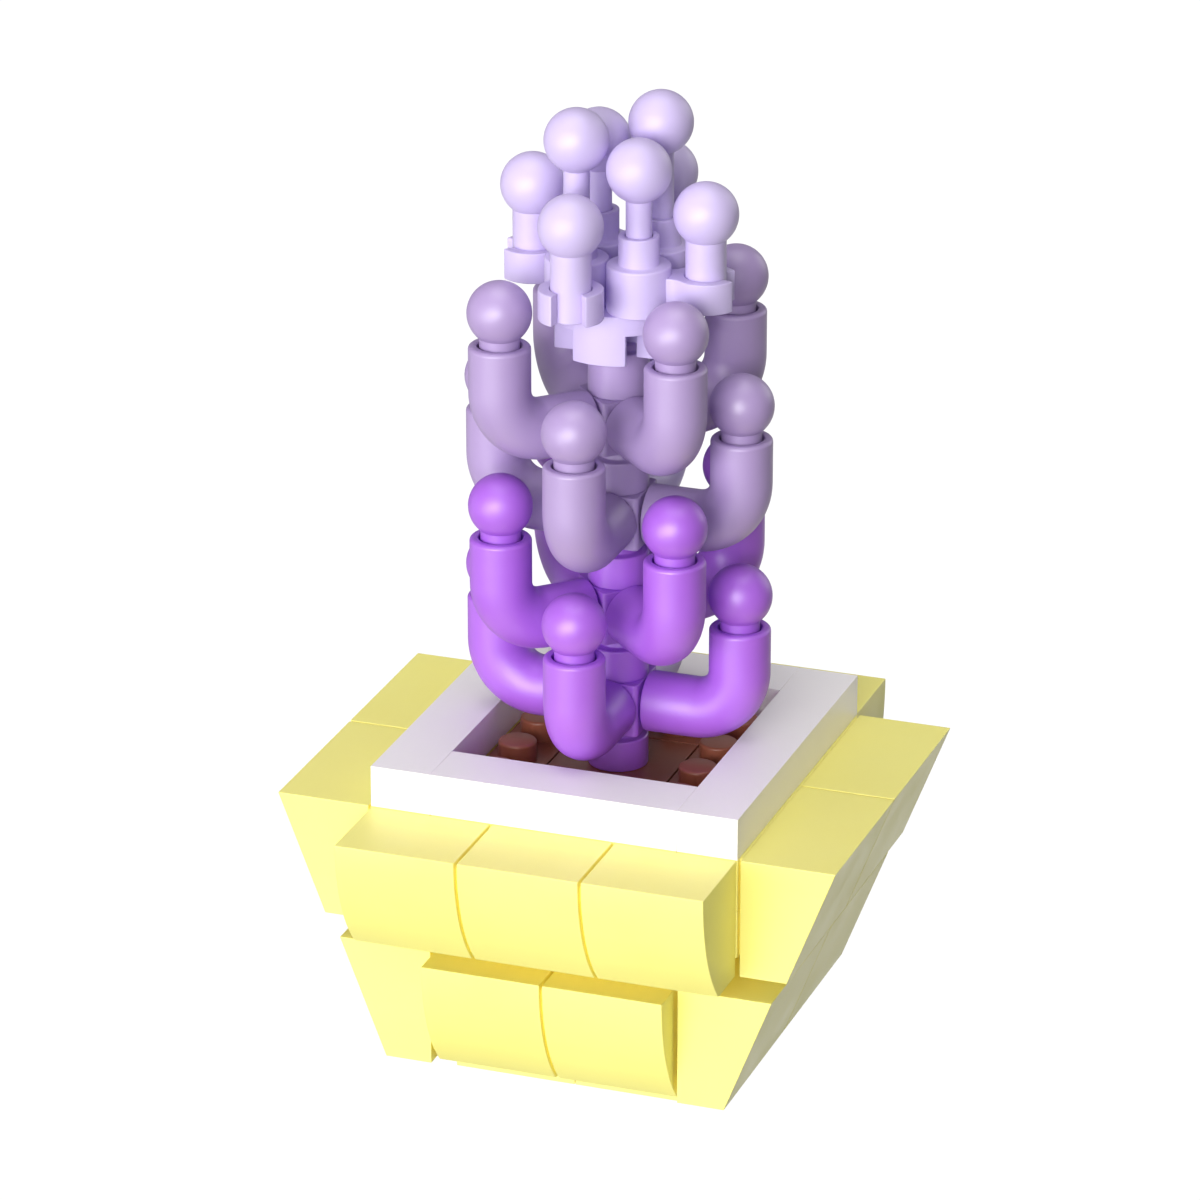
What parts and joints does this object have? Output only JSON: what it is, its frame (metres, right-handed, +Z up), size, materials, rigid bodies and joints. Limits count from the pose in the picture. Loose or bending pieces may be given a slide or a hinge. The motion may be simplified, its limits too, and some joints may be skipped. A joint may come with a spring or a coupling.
{
  "type": "building-brick potted hyacinth model",
  "caption": "Toy brick hyacinth: tiers of elbow-tube florets with ball ends round a stem, in a square stepped pot with a rim and studded soil.",
  "frame": {"origin": "middle of the underside of the pot's base plate", "axes": "+Z up along the stem, +X to the right and +Y to the back, seen from the front"},
  "size_m": [0.0728, 0.0728, 0.1253],
  "materials": {
    "pot_yellow": "satin",
    "rim_white": "satin",
    "soil_brown": "satin",
    "floret_purple": "satin",
    "floret_lilac": "satin",
    "floret_lavender": "satin"
  },
  "bodies": {
    "root": {"clip_brick_1": "floret_lavender", "clip_brick_2": "floret_lavender", "clip_brick_3": "floret_lavender", "clip_brick_4": "floret_lavender", "clipped_ball_1": "floret_lavender", "clipped_ball_2": "floret_lavender", "clipped_ball_3": "floret_lavender", "clipped_ball_4": "floret_lavender", "crown_brick": "floret_lavender", "curved_block_lower_back_1": "pot_yellow", "curved_block_lower_back_2": "pot_yellow", "curved_block_lower_front_1": "pot_yellow", "curved_block_lower_front_2": "pot_yellow", "curved_block_upper_back_1": "pot_yellow", "curved_block_upper_back_2": "pot_yellow", "curved_block_upper_back_3": "pot_yellow", "curved_block_upper_front_1": "pot_yellow", "curved_block_upper_front_2": "pot_yellow", "curved_block_upper_front_3": "pot_yellow", "floret_1_1": "floret_purple", "floret_1_2": "floret_lavender", "floret_1_3": "floret_purple", "floret_1_4": "floret_purple", "floret_2_1": "floret_purple", "floret_2_2": "floret_purple", "floret_2_3": "floret_purple", "floret_2_4": "floret_purple", "floret_3_1": "floret_lilac", "floret_3_2": "floret_lavender", "floret_3_3": "floret_lilac", "floret_3_4": "floret_lilac", "floret_4_1": "floret_lilac", "floret_4_2": "floret_lilac", "floret_4_3": "floret_lilac", "floret_4_4": "floret_lilac", "pot_core": "pot_yellow", "rim_back": "rim_white", "rim_front": "rim_white", "rim_left": "rim_white", "rim_right": "rim_white", "side_block_lower_left_1": "pot_yellow", "side_block_lower_left_2": "pot_yellow", "side_block_lower_right_1": "pot_yellow", "side_block_lower_right_2": "pot_yellow", "side_block_upper_left_1": "pot_yellow", "side_block_upper_left_2": "pot_yellow", "side_block_upper_right_1": "pot_yellow", "side_block_upper_right_2": "pot_yellow", "soil_left": "soil_brown", "soil_middle": "soil_brown", "soil_right": "soil_brown", "stem_base": "floret_purple", "stem_tier_1": "floret_purple", "stem_tier_2": "floret_purple", "stem_tier_3": "floret_lilac", "stem_tier_4": "floret_lilac", "thin_pin_ball_1": "floret_lavender", "thin_pin_ball_2": "floret_lavender", "thin_pin_ball_3": "floret_lavender", "thin_pin_ball_4": "floret_lavender"}
  },
  "joints": []
}
